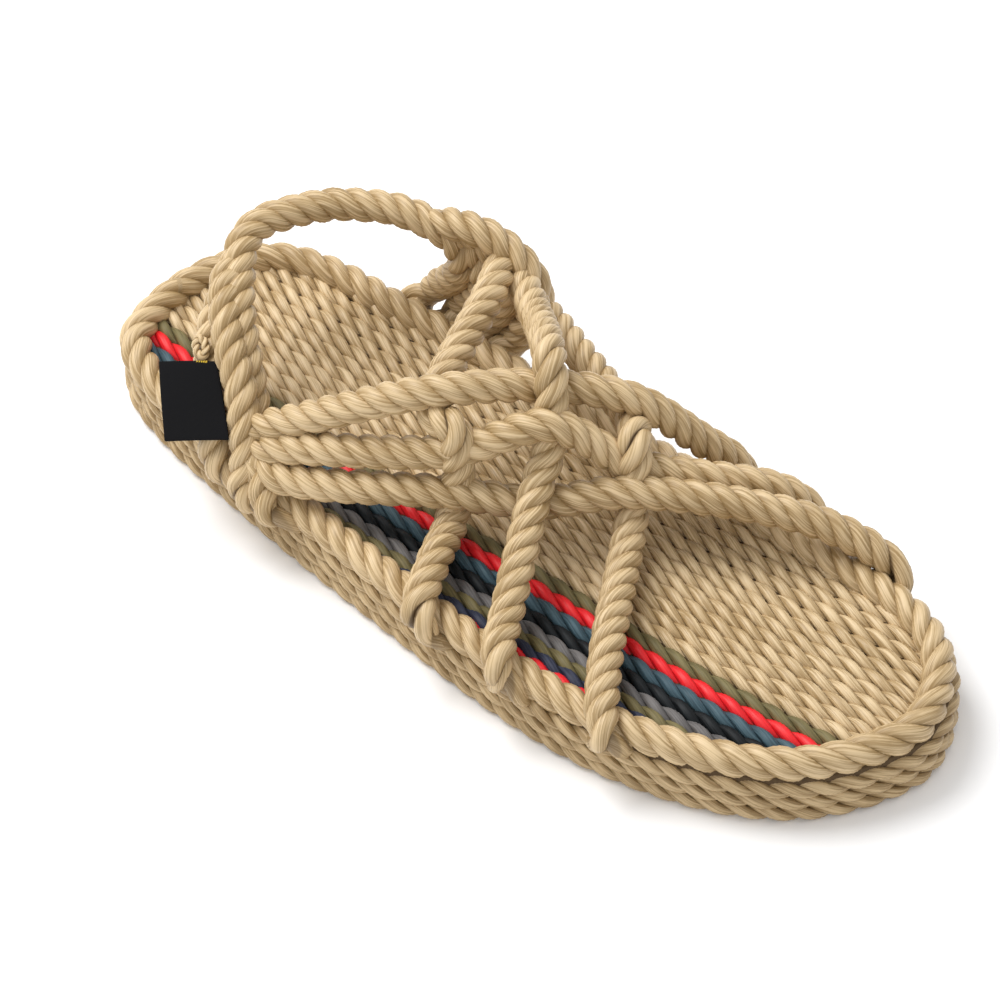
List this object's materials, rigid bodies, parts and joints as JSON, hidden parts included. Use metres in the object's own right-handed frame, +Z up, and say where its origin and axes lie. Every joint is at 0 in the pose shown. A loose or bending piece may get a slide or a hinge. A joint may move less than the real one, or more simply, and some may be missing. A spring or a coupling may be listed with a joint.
{
  "type": "rope sandal",
  "caption": "Open rope sandal with a flat sewn rope sole, a ribbed bed of lengthwise cords, woven instep straps and a heel strap that hold the foot on the sole.",
  "frame": {"origin": "middle of the box's underside", "axes": "+Z up, +Y towards the toe, +X towards the outer side"},
  "size_m": [0.11, 0.2708, 0.0689],
  "materials": {
    "rope_sole": "sewn rope rows, satin fibres",
    "rope_rim": "laid rope, satin fibres",
    "rope_bed": "laid cord, satin fibres",
    "rope_strap": "laid rope, satin fibres",
    "rope_loop": "thin laid cord",
    "cord_moss": "laid cord, satin fibres",
    "cord_red": "laid cord, satin fibres",
    "cord_slate": "laid cord, satin fibres",
    "cord_black": "laid cord, satin fibres",
    "cord_grey": "laid cord, satin fibres",
    "cord_navy": "laid cord, satin fibres",
    "label_cloth": "tight matt weave"
  },
  "bodies": {
    "root": {"sole": "rope_sole", "rim_rope": "rope_rim", "footbed": "rope_bed", "cord_moss": "cord_moss", "cord_red_inner": "cord_red", "cord_slate": "cord_slate", "cord_black": "cord_black", "cord_grey": "cord_grey", "cord_moss_outer": "cord_moss", "cord_navy": "cord_navy", "cord_red_outer": "cord_red", "upper": "rope_strap", "label": "label_cloth", "label_loop": "rope_loop"}
  },
  "joints": []
}
